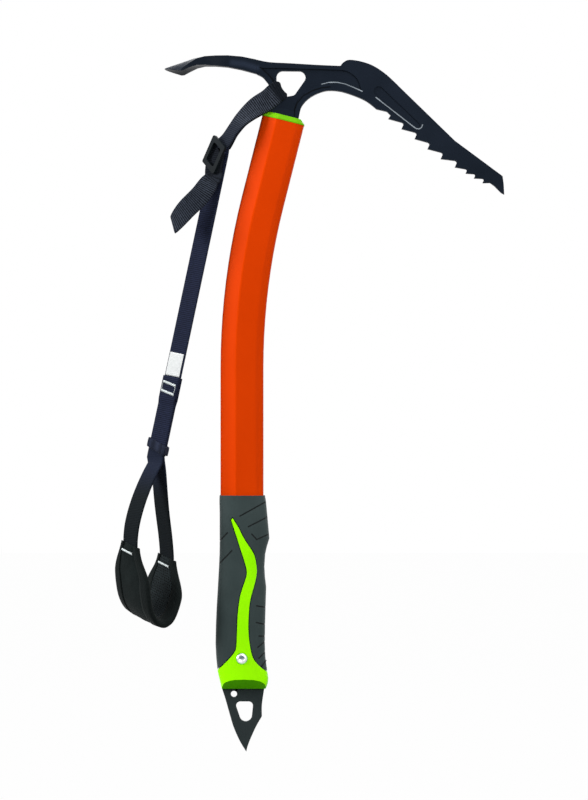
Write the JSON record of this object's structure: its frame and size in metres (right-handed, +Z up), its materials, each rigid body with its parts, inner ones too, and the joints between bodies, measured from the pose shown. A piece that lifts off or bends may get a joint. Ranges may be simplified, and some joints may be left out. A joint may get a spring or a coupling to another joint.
{
  "type": "ice climbing tool",
  "caption": "Bent-shaft ice climbing tool with toothed pick, adze, rubber grip and spike, and a webbing leash with buckle, sliding keeper and padded wrist loop",
  "frame": {"origin": "in the eye of the head, in the middle plane of the tool", "axes": "+X towards the pick, +Y to the far side of the tool, +Z up, along the lower shaft from spike to head"},
  "size_m": [0.2809, 0.0525, 0.5026],
  "materials": {
    "head_steel": "satin dark coating",
    "lime_plastic": "semi-gloss",
    "filler_resin": "matt",
    "orange_tube": "satin anodised orange",
    "grip_rubber": "matt moulded",
    "spike_steel": "satin dark coating",
    "rivet_steel": "satin",
    "webbing": "woven",
    "label_cloth": "smooth woven",
    "thread": "stitched",
    "buckle_plastic": "fine satin",
    "keeper_rubber": "matt",
    "cuff_cloth": "woven",
    "cuff_foam": "closed-cell foam",
    "cuff_mesh": "open mesh",
    "binding_tape": "ribbed tape"
  },
  "bodies": {
    "axe": {"head": "head_steel", "head_collar": "lime_plastic", "tang_sleeve": "filler_resin", "shaft": "orange_tube", "grip": "grip_rubber", "end_cap": "lime_plastic", "spike_plug": "filler_resin", "spike": "spike_steel", "spike_rivet": "rivet_steel"},
    "leash": {"leash_loop": "webbing", "leash_strap": "webbing", "leash_label": "label_cloth", "sewn_lap": "webbing", "lap_tacks": "thread"},
    "buckle": {"buckle": "buckle_plastic", "leash_tail": "webbing"},
    "wrist_loop": {"wrist_strap_left": "webbing", "wrist_strap_right": "webbing", "cuff_shell": "cuff_cloth", "cuff_pad": "cuff_foam", "cuff_lining": "cuff_mesh", "cuff_binding": "binding_tape", "cuff_tacks": "thread"},
    "keeper": {"keeper": "keeper_rubber"}
  },
  "joints": [
    {"name": "leash_swing", "type": "hinge", "parent": "axe", "child": "leash", "pos_m": [-0.00965, 0, -0.00668], "axis": [0.5281, 0, -0.8492], "range_deg": [-75, 75], "deforming": ["leash_loop"]},
    {"name": "buckle_slide", "type": "slide", "parent": "leash", "child": "buckle", "axis": [-0.2079, 0, -0.9781], "range_m": [0, 0.04]},
    {"name": "wrist_loop_swing", "type": "hinge", "parent": "leash", "child": "wrist_loop", "pos_m": [-0.08823, -0.003, -0.22986], "axis": [0.7812, -0.6018, -0.166], "range_deg": [-70, 70]},
    {"name": "keeper_slide", "type": "slide", "parent": "wrist_loop", "child": "keeper", "axis": [-0.0872, 0, -0.9962], "range_m": [0, 0.022], "deforming": ["wrist_strap_left", "wrist_strap_right"]}
  ]
}
